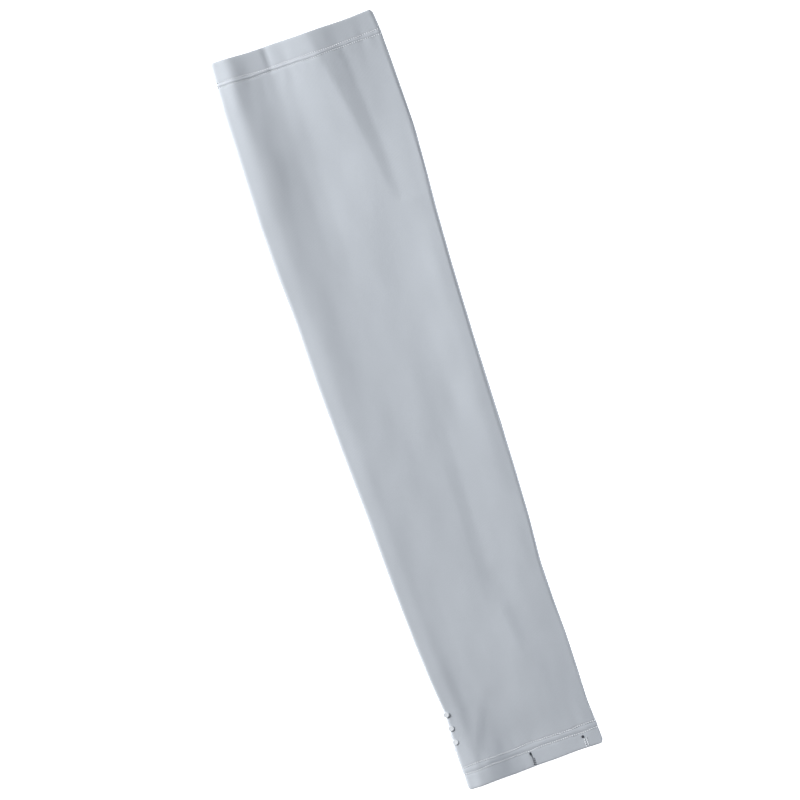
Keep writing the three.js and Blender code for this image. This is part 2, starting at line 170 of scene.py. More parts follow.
# %% Table
bpy.ops.mesh.primitive_plane_add(size=6.0, location=(0, 0, -0.0002))
table = bpy.context.object
table.name = "table"
table_paint = bpy.data.materials.new("pale_table")
table_paint.use_nodes = True
set_inputs(table_paint.node_tree.nodes["Principled BSDF"], {
    "Base Color": (0.93, 0.93, 0.93, 1.0), "Roughness": 0.9, "Specular IOR Level": 0.1,
    "Emission Color": (1.0, 1.0, 1.0, 1.0), "Emission Strength": 1.0,
})
table.data.materials.append(table_paint)
print("table:", table.name)

# %% [markdown]
# ## The tube's surface
#
# A garment like this could be draped by a cloth simulation, but the photograph shows one settled shape.
# So the surface is worked out from three short tables: the sections of the tube, the heights of its upper
# layer, and its creases. The result is kept as a fine grid that later pieces can be laid on.

# %% Tables of sections and folds
# along, taper (0 as wide as the arm, 1 as the hand), sideways shift
SECTIONS = np.array([
    (0.000, 0.233, 0.004),
    (0.030, 0.148, 0.006),
    (0.070, 0.063, 0.002),
    (0.120, 0.026, 0.001),
    (0.165, 0.000, -0.001),
    (0.220, 0.053, -0.010),
    (0.280, 0.185, -0.017),
    (0.350, 0.328, -0.021),
    (0.440, 0.413, -0.027),
    (0.530, 0.534, -0.028),
    (0.620, 0.667, -0.024),
    (0.690, 0.783, -0.029),
    (0.750, 0.937, -0.037),
    (0.800, 0.984, -0.032),
    (0.850, 1.030, -0.021),
    (0.900, 1.165, -0.010),
    (0.940, 1.135, -0.019),
    (0.970, 1.090, -0.014),
    (1.000, 1.080, -0.011),
])

# Heights of the upper layer over the table, in millimetres, at places across that are shares of the half
# width from the -X edge (-1) to the +X edge (1). At the arm mouth the cloth rises to a ridge right of the
# middle, on the forearm it is a shallow trough between two rolled edges, and at the hand it sinks behind
# the left roll.
PLACES = np.array([-1.0, -0.80, -0.67, -0.50, -0.33, -0.17, 0.00, 0.17, 0.33, 0.50, 0.67, 0.83, 1.0])
HEIGHTS = [
    (0.00, [8.9, 11.2, 10.1, 9.2, 9.4, 10.3, 12.0, 13.5, 14.0, 13.4, 12.2, 11.0, 10.2]),
    (0.03, [8.8, 11.7, 9.8, 8.5, 8.5, 9.7, 11.5, 13.0, 13.6, 13.1, 12.1, 11.0, 10.3]),
    (0.10, [9.7, 11.7, 10.6, 8.8, 8.1, 8.6, 9.9, 11.3, 12.3, 12.5, 12.1, 11.4, 10.9]),
    (0.15, [10.2, 11.8, 11.0, 9.4, 8.2, 8.0, 8.6, 9.7, 10.7, 11.2, 11.3, 11.1, 10.9]),
    (0.20, [10.5, 11.7, 11.3, 9.6, 8.2, 8.1, 8.8, 9.6, 10.3, 11.0, 11.3, 11.7, 11.9]),
    (0.30, [10.4, 11.6, 11.1, 9.8, 8.9, 8.5, 8.9, 9.3, 9.6, 10.2, 11.1, 12.0, 12.4]),
    (0.45, [10.4, 11.5, 11.2, 10.5, 10.2, 10.1, 10.1, 10.2, 10.3, 10.6, 11.4, 12.3, 12.3]),
    (0.60, [10.3, 11.1, 10.8, 10.8, 10.8, 10.7, 10.6, 10.4, 10.3, 10.5, 11.0, 11.5, 11.3]),
    (0.68, [10.3, 11.1, 10.7, 10.4, 10.3, 10.3, 10.3, 10.2, 10.2, 10.5, 11.0, 11.2, 11.0]),
    (0.75, [10.2, 11.0, 10.4, 10.0, 10.0, 10.1, 10.3, 10.3, 10.2, 10.2, 10.4, 10.4, 10.2]),
    (0.84, [10.6, 11.2, 10.1, 9.9, 10.2, 10.5, 10.8, 11.1, 11.2, 10.5, 9.3, 8.7, 8.4]),
    (0.88, [10.4, 10.8, 9.1, 8.8, 9.3, 9.8, 10.1, 10.5, 11.0, 11.0, 10.3, 9.2, 8.4]),
    (0.92, [10.3, 10.7, 9.1, 8.4, 8.4, 8.7, 9.1, 9.6, 10.1, 10.4, 10.2, 9.4, 8.4]),
    (0.96, [9.8, 12.3, 12.0, 10.0, 7.4, 6.2, 6.4, 6.9, 7.6, 8.2, 8.8, 9.5, 8.5]),
    (1.00, [9.6, 12.5, 12.1, 10.4, 7.9, 6.4, 6.0, 6.1, 6.4, 7.0, 7.7, 8.4, 8.3]),
]

# Creases of the upper layer. Each has a start and an end: shares of the length, then its place across the
# width from the -X edge, its reach to the left and to the right, and its depth in millimetres. The left
# wall of a crisp crease is straight, with a sharp upper edge; the other walls are rounded.
FOLDS = [
    dict(name="arm ledge", along=(-0.03, 0.25), across=(0.733, 0.825), left=(0.168, 0.040),
         right=(1.10, 0.22), depth=(3.5, 0.9), crisp=0.85, fade=0.45),
    dict(name="hem pleat", along=(-0.02, 0.037), across=(0.318, 0.328), left=(0.02, 0.02),
         right=(0.035, 0.03), depth=(0.7, 0.6), crisp=0.3, fade=0.3),
    dict(name="forearm crease", along=(0.46, 0.79), across=(0.660, 0.634), left=(0.08, 0.075),
         right=(0.30, 0.28), depth=(0.25, 0.95), crisp=0.95, fade=0.6),
    dict(name="wrist crease", along=(0.885, 0.970), across=(0.36, 0.20), left=(0.09, 0.12),
         right=(0.18, 0.36), depth=(0.4, 1.1), crisp=0.0, fade=0.6),
    dict(name="thumb crease", along=(0.735, 0.85), across=(0.70, 0.735), left=(0.09, 0.08),
         right=(0.13, 0.12), depth=(0.5, 0.65), crisp=0.3, fade=0.6),
]
print("sections:", len(SECTIONS), "rows of heights:", len(HEIGHTS), "folds:", len(FOLDS))

# %% Fine grid of the surface
ROWS = 901  # one row to each half millimetre
COLUMNS = 1024
SECTION_SOFTNESS = 14  # rows over which a corner of the section table is softened
HEIGHT_SOFTNESS = (36, 10)  # the same for the heights: in rows, and in steps across


def quarter_arc(run, height):
    """Length of a quarter of an ellipse."""
    angle = np.linspace(0, np.pi / 2, 400)
    return float(np.hypot(np.diff(run * np.cos(angle)), np.diff(height * np.sin(angle))).sum())


# The rounder edge of this cloth makes every running length longer than the solids' by the same amount.
EDGE_EXTRA = quarter_arc(EDGE_RUN, EDGE_HEIGHT) - quarter_arc(EDGE_RUN, SOLID_EDGE_HEIGHT)


def smooth(value, low, high):
    share = np.clip((value - low) / (high - low), 0, 1)
    return share * share * (3 - 2 * share)


def blend(start, end, share):
    return start + (end - start) * share


def unit(directions):
    """The same directions, each with a length of one."""
    return directions / np.linalg.norm(directions, axis=-1, keepdims=True)


def gone_along(points):
    """How far along a line of points each of them lies."""
    return np.concatenate([[0], np.cumsum(np.linalg.norm(np.diff(points, axis=0), axis=1))])


def bell(softness):
    """Weights that add up to one, for softening a line of values."""
    weights = np.hanning(2 * softness + 1)
    return weights / weights.sum()


row_along = np.linspace(0, 1, ROWS)
across_line = np.linspace(-1, 1, 201)


def section_column(index):
    """One column of the section table on the fine rows, with its corners softened."""
    values = np.interp(row_along, SECTIONS[:, 0], SECTIONS[:, index])
    reach = SECTION_SOFTNESS
    before = 2 * values[0] - values[reach:0:-1]
    after = 2 * values[-1] - values[-2:-reach - 2:-1]
    return np.convolve(np.concatenate([before, values, after]), bell(reach), mode="valid")


def height_table():
    """The table of heights on the fine rows and a fine line across, with its corners softened."""
    stations = np.array([station for station, _ in HEIGHTS])
    heights = np.array([values for _, values in HEIGHTS])
    rows_in = np.array([np.interp(row_along, stations, column) for column in heights.T]).T
    across_in = np.array([np.interp(across_line, PLACES, row) for row in rows_in])

    def soften(values, axis):
        reach = HEIGHT_SOFTNESS[axis]
        padded = np.pad(values, [(reach, reach) if k == axis else (0, 0) for k in (0, 1)], "edge")
        return np.apply_along_axis(np.convolve, axis, padded, bell(reach), mode="valid")

    return soften(soften(across_in, 0), 1)


row_width = blend(ARM_WIDTH, HAND_WIDTH, section_column(1))
row_centre = row_width * section_column(2)
upper_height = height_table()


def fold_depth(along, across):
    """How far the folds push the upper layer down, in millimetres."""
    depth = np.zeros(np.broadcast(along, across).shape)
    for fold in FOLDS:
        start, end = fold["along"]
        share = (along - start) / (end - start)
        inside = (share > 0) & (share < 1)
        share = np.clip(share, 0, 1)
        offset = across - blend(*fold["across"], share)
        reach = np.where(offset < 0, blend(*fold["left"], share), blend(*fold["right"], share))
        near = np.clip(np.abs(offset) / reach, 0, 1)
        crisp = np.where(offset < 0, fold["crisp"], 0)
        hollow = blend(0.5 + 0.5 * np.cos(np.pi * near), 1 - near, crisp)
        fade = np.sin(np.pi * share) ** fold["fade"]
        depth += np.where(inside, blend(*fold["depth"], share) * hollow * fade, 0)
    return depth


def table_lift(along, from_seam_edge):
    """How far the palm side stands off the table."""
    hand = (1 - along) * SLEEVE_LENGTH
    palm = blend(0.35, 1, smooth(hand, 0, HAND_HEM_DEPTH)) * (1 - smooth(hand, WELT_TOP, WELT_TOP + 16))
    past_seam = from_seam_edge - SEAM_INSET - SEAM_WIDTH / 2 - 1.5
    channel = (1 - smooth(past_seam, 0, 3)) * smooth(hand, 0, HAND_HEM_DEPTH)
    channel = channel * smooth(along * SLEEVE_LENGTH, 0, ARM_HEM_DEPTH)
    return np.maximum(PALM_LIFT * palm, SEAM_LIFT * channel)


# A section's line has four stretches: the near edge's arc, the flat palm side, the far edge's arc, and the
# arch of the upper layer back to the near edge.
ARC, FLAT, ARCH = 40, 120, 400
arc_angle = np.arange(ARC) / ARC * (np.pi / 2)
flat_share = np.arange(FLAT) / FLAT
arch_angle = np.pi * (1 - np.arange(ARCH + 1) / ARCH)
arch_run = np.cos(arch_angle)

half = row_width[:, None] / 2
centre = row_centre[:, None]
corner_x = EDGE_RUN * (1 - np.cos(arc_angle))[None, :]
corner_z = EDGE_HEIGHT * (1 - np.sin(arc_angle))[None, :]
near_x = centre + half - corner_x
flat_x = blend(centre + half - EDGE_RUN, centre - half + EDGE_RUN, flat_share[None, :])
far_x = centre - half + corner_x[:, ::-1]
arch_x = centre + half * arch_run[None, :]
along_column = row_along[:, None]
from_edge = half * (1 - np.abs(arch_run))[None, :]
roll = np.sqrt(1 - (1 - np.minimum(from_edge / EDGE_TURN, 1)) ** 2)
table_rise = np.array([np.interp(arch_run, across_line, row) for row in upper_height]) - EDGE_HEIGHT
arch_z = EDGE_HEIGHT + table_rise * roll
arch_z = arch_z - fold_depth(along_column, 0.5 + 0.5 * arch_run[None, :]) * roll
under_x = np.concatenate([near_x, flat_x, far_x], axis=1)
under_z = np.concatenate([
    np.broadcast_to(corner_z, near_x.shape),
    np.zeros_like(flat_x),
    np.broadcast_to(corner_z[:, ::-1], far_x.shape),
], axis=1)
lift = table_lift(along_column, centre + half - under_x)
under_z = under_z + lift * (1 - under_z / EDGE_HEIGHT)
line_x = np.concatenate([under_x, arch_x], axis=1)
line_z = np.concatenate([under_z, arch_z], axis=1)

steps = np.hypot(np.diff(line_x, axis=1), np.diff(line_z, axis=1))
lengths = np.concatenate([np.zeros((ROWS, 1)), np.cumsum(steps, axis=1)], axis=1)
row_total = lengths[:, -1]
row_far_edge = lengths[:, 2 * ARC + FLAT]

grid_share = np.arange(COLUMNS + 1) / COLUMNS
grid = np.zeros((ROWS, COLUMNS + 1, 3))
for row in range(ROWS):
    places = grid_share * row_total[row]
    grid[row, :, 0] = np.interp(places, lengths[row], line_x[row])
    grid[row, :, 2] = np.interp(places, lengths[row], line_z[row])
across_centre = (grid[:, :, 0] - centre) / half
arm_share = 1 - smooth(along_column * SLEEVE_LENGTH, 0, MOUTH_REACH)
hand_share = 1 - smooth((1 - along_column) * SLEEVE_LENGTH, 0, MOUTH_REACH)
grid[:, :, 1] = (0.5 - along_column) * SLEEVE_LENGTH
grid[:, :, 1] += ARM_MOUTH_DIP * (across_centre ** 2 - 1) * arm_share
grid[:, :, 1] += HAND_MOUTH_SKEW * across_centre * hand_share

# The corners of the mouths are rounded, and their edges wave a little.
near_corner = np.clip(MOUTH_CORNER - (1 - np.abs(across_centre)) * half, 0, MOUTH_CORNER)
corner_cut = MOUTH_CORNER - np.sqrt(MOUTH_CORNER ** 2 - near_corner ** 2)
wave = 0.15 * np.sin(6 * np.pi * grid_share + 0.4) + 0.10 * np.sin(14 * np.pi * grid_share + 2.0)
near_arm = np.exp(-along_column * SLEEVE_LENGTH / CORNER_REACH)
near_hand = np.exp(-(1 - along_column) * SLEEVE_LENGTH / CORNER_REACH)
grid[:, :, 1] += (near_hand - near_arm) * (corner_cut - wave[None, :])
grid += ORIGIN
print("circumference", round(row_total.max(), 1), "to", round(row_total.min(), 1), "mm")

# %% [markdown]
# Two helpers read that grid. `on_cloth` gives the point and the outward direction at any place of the
# surface, and `running_at` finds the running length of a place across the upper layer. The outward
# direction comes from the grid's own slopes, so what is laid on a fold turns with it.

# %% Reading the surface
def grid_slopes():
    ahead = np.roll(grid[:, :-1], -1, axis=1)
    behind = np.roll(grid[:, :-1], 1, axis=1)
    round_tube = ahead - behind
    down_tube = np.gradient(grid[:, :-1], axis=0)
    outward = unit(np.cross(down_tube, round_tube))
    return np.concatenate([outward, outward[:, :1]], axis=1)


grid_outward = grid_slopes()
if grid_outward[ROWS // 2, COLUMNS * 3 // 4, 2] < 0:
    grid_outward = -grid_outward


def on_cloth(along, running, off=0.0):
    """Points `off` the surface (negative is inside), and the outward directions there."""
    along = np.clip(np.asarray(along, float), 0, 1)
    running = np.asarray(running, float)
    total = np.interp(along, row_along, row_total)
    row = along * (ROWS - 1)
    column = np.mod(running / total, 1.0) * COLUMNS
    r0 = np.clip(row.astype(int), 0, ROWS - 2)
    c0 = np.clip(column.astype(int), 0, COLUMNS - 1)
    fr = (row - r0)[..., None]
    fc = (column - c0)[..., None]

    def sample(source):
        near = source[r0, c0] * (1 - fc) + source[r0, c0 + 1] * fc
        far = source[r0 + 1, c0] * (1 - fc) + source[r0 + 1, c0 + 1] * fc
        return near * (1 - fr) + far * fr

    outward = unit(sample(grid_outward))
    return sample(grid) + outward * np.asarray(off, float)[..., None], outward


def far_edge(along):
    return np.interp(along, row_along, row_far_edge)


def total_round(along):
    return np.interp(along, row_along, row_total)


def running_at(along, x):
    """Running lengths on the upper layer at a place across, in millimetres from the middle line."""
    found = []
    for row in np.rint(along * (ROWS - 1)).astype(int):
        places = grid_share * row_total[row]
        upper = places > row_far_edge[row]
        found.append(np.interp(x + ORIGIN[0], grid[row, upper, 0], places[upper]))
    return np.array(found)


def from_hand(distance):
    return 1 - np.asarray(distance, float) / SLEEVE_LENGTH


# %% [markdown]
# ## Thumb slot
#
# The slot is a slit along the tube that the thumb has pulled open: its two lips bow apart, more on the
# welt's side. The cloth's mesh gets one column of corners on each lip, so the slit needs no cutting.

# %% Slot lines
SLOT_FROM = float(from_hand(SLOT_ARM_END))
SLOT_TO = float(from_hand(SLOT_HAND_END))


def slot_lips(along):
    """Running lengths of the slot's two lips; outside the slot they are the same."""
    share = np.clip((np.asarray(along, float) - SLOT_FROM) / (SLOT_TO - SLOT_FROM), 0, 1)
    line = blend(SLOT_INSET_ARM, SLOT_INSET_HAND, share) + EDGE_EXTRA
    opening = np.sin(np.pi * share)
    return line - SLOT_SEAM_SIDE * opening, line + SLOT_PALM_SIDE * opening


# %% [markdown]
# ## The cloth
#
# The real sleeve is one layer of knit, folded in at both mouths. The mesh is made the same way: a sheet
# of four-sided faces runs from the raw edge inside the arm hem, round the folded mouth, down the whole
# tube and round the hand's mouth. Solidify then gives it the thickness of the knit. Uneven ripples keep
# it from looking moulded. Each row of stitches pulls a shallow groove, with small gathers beside it, and
# between the two rows of a hem the cloth stands up as a low band.

# %% Ripples and stitch grooves
ARM_ROWS = (12.6, 15.2)  # coverstitch rows, from the arm mouth
HAND_ROWS = (9.8, 13.8)  # from the hand mouth
ARM_BAND = 14.0  # the band between the rows is highest here
HAND_BAND = 11.8
RIPPLES = ((24.0, 0.58), (11.0, 0.23), (4.2, 0.02))  # size and height of each, in millimetres
GATHER_SIZE = (4.6, 14.0)  # across and along


def swell(distance, width, height):
    """A low rise along a line, or a groove where the height is negative."""
    return height * np.exp(-(distance / width) ** 2)


def stray(along, running, row):
    """How far a row of stitches strays from its line: no hem is sewn dead straight."""
    turn = 2 * np.pi * running / total_round(along)
    slow = 0.22 * np.sin(5 * turn + 1.7 * row)
    return slow + 0.12 * np.sin(11 * turn + 2.9 * row) + 0.06 * np.sin(26 * turn + row)


def relief(along, running, points):
    """Small heights of the cloth along its outward direction, in millimetres."""
    arm = along * SLEEVE_LENGTH
    hand = (1 - along) * SLEEVE_LENGTH
    first, second, third, fourth = (stray(along, running, row) for row in range(4))
    height = swell(arm - ARM_ROWS[1] - second, 0.55, -0.26) + swell(arm - ARM_BAND - second, 0.8, 0.26)
    # this row is pulled tighter on the left
    height *= 0.65 + 0.35 * np.sin(2 * np.pi * (running / total_round(along) - 0.35))
    height += swell(arm - ARM_ROWS[0] - first, 0.5, -0.14)
    height += swell(hand - HAND_ROWS[0] + third, 0.6, -0.17)
    height += swell(hand - HAND_ROWS[1] + fourth, 0.6, -0.17)
    height += swell(hand - HAND_BAND + third, 1.1, 0.12)
    upper = running > far_edge(along)
    ripple = np.zeros_like(height)
    for size, amount in RIPPLES:
        seed = Vector((size, 3.1, 7.7))
        values = [noise.noise(Vector((p[0] / size, p[1] / (2.2 * size), 0.0)) + seed) for p in points]
        ripple += amount * np.array(values)
    pull = np.exp(-np.abs(arm - ARM_ROWS[1]) / 9) + np.exp(-np.abs(hand - 12.5) / 8)
    across, lengthwise = GATHER_SIZE
    gathers = np.array([noise.noise(Vector((p[0] / across, p[1] / lengthwise, 2.0 if u else 9.0)))
                        for p, u in zip(points, upper)])
    return height + np.where(upper, ripple + 0.35 * pull * gathers, 0.15 * ripple + 0.2 * pull * gathers)


# %% Rows and columns of the sheet
LIP = CLOTH_THICKNESS + 0.1  # radius of the folded mouth
HEM_ROWS = 9  # rows of faces in the turned-in part
RAW_EDGE = 0.6  # the turned-in part stops this far short of the hem's depth
TABLE_GAP = 0.02  # nothing goes through the table
arm_inner = np.linspace(ARM_HEM_DEPTH - RAW_EDGE, LIP, HEM_ROWS)
hand_inner = np.linspace(LIP, HAND_HEM_DEPTH - RAW_EDGE, HEM_ROWS)
bend = np.linspace(180, 0, 9)[1:-1] * np.pi / 180
arm_lip = LIP - LIP * np.sin(bend)
lip_depth = LIP - LIP * np.cos(bend)
main = np.concatenate([  # closer rows at the stitches
    np.linspace(LIP, 11.6, 8, endpoint=False),
    np.linspace(11.6, 17.0, 18, endpoint=False),
    np.linspace(17.0, SLEEVE_LENGTH - 16.0, 214, endpoint=False),
    np.linspace(SLEEVE_LENGTH - 16.0, SLEEVE_LENGTH - 9.0, 20, endpoint=False),
    np.linspace(SLEEVE_LENGTH - 9.0, SLEEVE_LENGTH - LIP, 7),
])
turned_in = np.full(HEM_ROWS, 2 * LIP)
sheet_place = np.concatenate([
    arm_inner, arm_lip, main, SLEEVE_LENGTH - arm_lip[::-1], SLEEVE_LENGTH - hand_inner,
])
sheet_inward = np.concatenate([turned_in, lip_depth, np.zeros(len(main)), lip_depth[::-1], turned_in])
sheet_flat = np.concatenate([[0], np.cumsum(np.hypot(np.diff(sheet_place), np.diff(sheet_inward)))])
sheet_along = sheet_place / SLEEVE_LENGTH

SEAM_SIDE_COLUMNS = 18
PALM_SIDE_COLUMNS = 118


def sheet_columns(along):
    """Running lengths of the sheet's columns: to the slot's first lip, and on from its second."""
    first, second = slot_lips(along)
    total = total_round(along)
    before = np.linspace(0, 1, SEAM_SIDE_COLUMNS + 1) * first
    after = second + np.linspace(0, 1, PALM_SIDE_COLUMNS + 1) * (total - second)
    return np.concatenate([before, after])


rows = np.array([sheet_columns(a) for a in sheet_along])
along_rows = np.repeat(sheet_along[:, None], rows.shape[1], axis=1)
flat_points, _ = on_cloth(along_rows.ravel(), rows.ravel())
heights = relief(along_rows.ravel(), rows.ravel(), flat_points).reshape(rows.shape)
heights = heights - sheet_inward[:, None]
sheet_points, _ = on_cloth(along_rows.ravel(), rows.ravel(), heights.ravel())
sheet_points[:, 2] = np.maximum(sheet_points[:, 2], TABLE_GAP)
sheet_points = sheet_points.reshape(rows.shape + (3,))
print("sheet rows and columns:", rows.shape)

# %% [markdown]
# Making a mesh from arrays takes three things: corners, faces as lists of corner numbers, and a map that
# says where each face lies on the flat cloth. The map holds millimetres of cloth, so that a knit pattern
# has its real size everywhere.

# %% Mesh helper
def make_piece(name, corners_mm, faces, cloth_map=None):
    """A mesh object from corners in millimetres. cloth_map has one pair for each face corner."""
    mesh = bpy.data.meshes.new(name)
    mesh.from_pydata((np.asarray(corners_mm) * MM).tolist(), [], [list(map(int, f)) for f in faces])
    if cloth_map is not None:
        layer = mesh.uv_layers.new(name="cloth")
        layer.data.foreach_set("uv", np.asarray(cloth_map, np.float32).ravel())
    mesh.polygons.foreach_set("use_smooth", [True] * len(mesh.polygons))
    mesh.update()
    piece = bpy.data.objects.new(name, mesh)
    bpy.context.collection.objects.link(piece)
    return piece


def apply_modifier(piece, kind, **settings):
    """Adds one modifier, sets it and applies it, as by hand."""
    bpy.ops.object.select_all(action="DESELECT")
    piece.select_set(True)
    bpy.context.view_layer.objects.active = piece
    modifier = piece.modifiers.new(kind.lower(), kind)
    for key, value in settings.items():
        setattr(modifier, key, value)
    bpy.ops.object.modifier_apply(modifier=modifier.name)


# %% Cloth mesh
def build_cloth():
    count_rows, count_columns = rows.shape
    first_lip = SEAM_SIDE_COLUMNS
    numbers = np.zeros((count_rows, count_columns), int)
    corners = []
    for i in range(count_rows):
        open_here = rows[i, first_lip + 1] - rows[i, first_lip] > 1e-4
        for j in range(count_columns):
            if j == count_columns - 1:
                numbers[i, j] = numbers[i, 0]
            elif j == first_lip + 1 and not open_here:
                numbers[i, j] = numbers[i, first_lip]
            else:
                numbers[i, j] = len(corners)
                corners.append(sheet_points[i, j])
    faces, cloth_map = [], []
    for i in range(count_rows - 1):
        for j in range(count_columns - 1):
            if j == first_lip:
                continue
            for a, b in ((i, j), (i + 1, j), (i + 1, j + 1), (i, j + 1)):
                cloth_map.append((rows[a, b], sheet_flat[a]))
            faces.append((numbers[i, j], numbers[i + 1, j], numbers[i + 1, j + 1], numbers[i, j + 1]))
    return make_piece("sleeve_cloth", corners, faces, cloth_map)


cloth = build_cloth()
apply_modifier(cloth, "SOLIDIFY", thickness=CLOTH_THICKNESS * MM, offset=-1.0, use_rim=True,
               use_even_offset=False)
print("cloth faces:", len(cloth.data.polygons))

# %% [markdown]
# ## Finishes
#
# The knit is a light steel grey, matt, with a faint grain of ribs along the sleeve and a slightly mottled
# yarn. Large soft blotches, a little lighter and darker, are painted shade of small undulations in the
# cloth.
# The pattern is a node group that takes the yarn's colour, so a knit of another colour can use it too. It
# gives only a colour and a height: the shader stays in each material. The tube, the seam's band and the
# welt share one material.

# %% Helpers for node groups and materials
def start_group(name, inputs):
    """An empty group that takes the named inputs and puts out a colour and a height."""
    tree = bpy.data.node_groups.new(name, "ShaderNodeTree")
    for input_name, kind, value in inputs:
        socket = tree.interface.new_socket(name=input_name, in_out="INPUT", socket_type=kind)
        socket.default_value = value
    for output_name, kind in (("Color", "NodeSocketColor"), ("Height", "NodeSocketFloat")):
        tree.interface.new_socket(name=output_name, in_out="OUTPUT", socket_type=kind)
    return tree, tree.nodes.new("NodeGroupInput"), tree.nodes.new("NodeGroupOutput")


def maths(tree, operation, first, second):
    """One arithmetic node. A number is set on its socket, and anything else is linked to it."""
    node = tree.nodes.new("ShaderNodeMath")
    node.operation = operation
    for socket, value in zip(node.inputs, (first, second)):
        if isinstance(value, float):
            socket.default_value = value
        else:
            tree.links.new(value, socket)
    return node.outputs[0]


def lightened(tree, colour, factor):
    """A colour made lighter or darker by a factor."""
    node = tree.nodes.new("ShaderNodeVectorMath")
    node.operation = "SCALE"
    tree.links.new(colour, node.inputs[0])
    tree.links.new(factor, node.inputs["Scale"])
    return node.outputs["Vector"]


def cloth_map_node(tree):
    node = tree.nodes.new("ShaderNodeUVMap")
    node.uv_map = "cloth"
    return node.outputs["UV"]


def start_material(name, roughness, specular, sheen):
    material = bpy.data.materials.new(name)
    material.use_nodes = True
    shader = material.node_tree.nodes["Principled BSDF"]
    set_inputs(shader, {"Roughness": roughness, "Specular IOR Level": specular, "Sheen Weight": sheen})
    return material, material.node_tree, shader


def add_group(tree, group, values):
    node = tree.nodes.new("ShaderNodeGroup")
    node.node_tree = group
    set_inputs(node, values)
    return node


def colour_and_bump(tree, shader, colour, height, strength, distance):
    """Links a colour into the shader, and a height as bump with a real depth in metres."""
    raised = tree.nodes.new("ShaderNodeBump")
    set_inputs(raised, {"Strength": strength, "Distance": distance})
    tree.links.new(height, raised.inputs["Height"])
    tree.links.new(colour, shader.inputs["Base Color"])
    tree.links.new(raised.outputs["Normal"], shader.inputs["Normal"])


# %% Knit node group
def build_knit_group():
    tree, inputs, outputs = start_group("fine_knit", [
        ("Yarn", "NodeSocketColor", (0.45, 0.48, 0.52, 1.0)),
        # this input scales both the yarn's fine mottle and the painted shade blotches
        ("Mottle And Painted Shade", "NodeSocketFloat", 0.12),
        ("Rib Height", "NodeSocketFloat", 0.5),
    ])
    cloth_place = cloth_map_node(tree)

    def pattern(kind, across, lengthwise, scale):
        """A texture on the cloth map, which is in millimetres, stretched by two factors."""
        stretched = tree.nodes.new("ShaderNodeMapping")
        stretched.inputs["Scale"].default_value = (across, lengthwise, 1.0)
        tree.links.new(cloth_place, stretched.inputs["Vector"])
        texture = tree.nodes.new(kind)
        texture.inputs["Scale"].default_value = scale
        tree.links.new(stretched.outputs["Vector"], texture.inputs["Vector"])
        return texture

    ribs = pattern("ShaderNodeTexWave", 1.0, 0.0, 0.42)
    courses = pattern("ShaderNodeTexWave", 0.0, 1.0, 0.55)
    courses.bands_direction = "Y"
    fibres = pattern("ShaderNodeTexNoise", 2.4, 1.3, 1.0)
    fibres.inputs["Detail"].default_value = 3.0
    # painted shade: large soft blotches that stand for the shading of small undulations in the cloth
    painted_shade_blotches = pattern("ShaderNodeTexNoise", 0.06, 0.03, 1.0)
    painted_shade_blotches.inputs["Detail"].default_value = 2.0

    loops = maths(tree, "ADD", ribs.outputs["Fac"], courses.outputs["Fac"])
    knit = maths(tree, "MULTIPLY", loops, inputs.outputs["Rib Height"])
    fuzz = maths(tree, "MULTIPLY", fibres.outputs["Fac"], 0.8)
    tree.links.new(maths(tree, "ADD", knit, fuzz), outputs.inputs["Height"])
    # the fine fibre speckle is the yarn's own mottle; the large blotches added to it are painted shade
    fine = maths(tree, "SUBTRACT", fibres.outputs["Fac"], 0.5)
    painted_blotches = maths(tree, "MULTIPLY", maths(tree, "SUBTRACT", painted_shade_blotches.outputs["Fac"], 0.5), 0.6)
    spread = maths(tree, "MULTIPLY", maths(tree, "ADD", fine, painted_blotches), inputs.outputs["Mottle And Painted Shade"])
    colour = lightened(tree, inputs.outputs["Yarn"], maths(tree, "ADD", spread, 1.0))
    tree.links.new(colour, outputs.inputs["Color"])
    return tree


fine_knit = build_knit_group()
print("node group:", fine_knit.name, "with", len(fine_knit.nodes), "nodes")


# %% Cloth material
def knit_material(name, yarn, mottle_and_shade, rib_height, bump):
    material, tree, shader = start_material(name, roughness=0.85, specular=0.25, sheen=0.25)
    knit = add_group(tree, fine_knit, {"Yarn": yarn, "Mottle And Painted Shade": mottle_and_shade, "Rib Height": rib_height})
    colour_and_bump(tree, shader, knit.outputs["Color"], knit.outputs["Height"], bump, 0.0002)
    return material


KNIT_GREY = (0.414, 0.445, 0.488, 1.0)
# the mottle setting scales both the yarn's mottle and the painted shade blotches
cloth_finish = knit_material("steel_grey_knit", KNIT_GREY, mottle_and_shade=0.10, rib_height=0.5, bump=0.18)
cloth.data.materials.append(cloth_finish)
print("cloth material:", cloth_finish.name)


# %% [markdown]
# Thread, silicone and the label's tape share a second group: a fine grain in the piece's own space, with
# a size that each material sets. On thread and tape it reads as fibres, and on silicone as the slight
# unevenness of a print.

# %% Grain node group, thread finishes
def build_grain_group():
    tree, inputs, outputs = start_group("fine_grain", [
        ("Tone", "NodeSocketColor", (0.8, 0.8, 0.8, 1.0)),
        ("Grain Per Metre", "NodeSocketFloat", 2000.0),
        ("Variation", "NodeSocketFloat", 0.2),
    ])
    place = tree.nodes.new("ShaderNodeTexCoord")
    grain = tree.nodes.new("ShaderNodeTexNoise")
    grain.inputs["Detail"].default_value = 3.0
    tree.links.new(place.outputs["Object"], grain.inputs["Vector"])
    tree.links.new(inputs.outputs["Grain Per Metre"], grain.inputs["Scale"])
    centred = maths(tree, "SUBTRACT", grain.outputs["Fac"], 0.5)
    spread = maths(tree, "MULTIPLY", centred, inputs.outputs["Variation"])
    colour = lightened(tree, inputs.outputs["Tone"], maths(tree, "ADD", spread, 1.0))
    tree.links.new(colour, outputs.inputs["Color"])
    tree.links.new(grain.outputs["Fac"], outputs.inputs["Height"])
    return tree


fine_grain = build_grain_group()


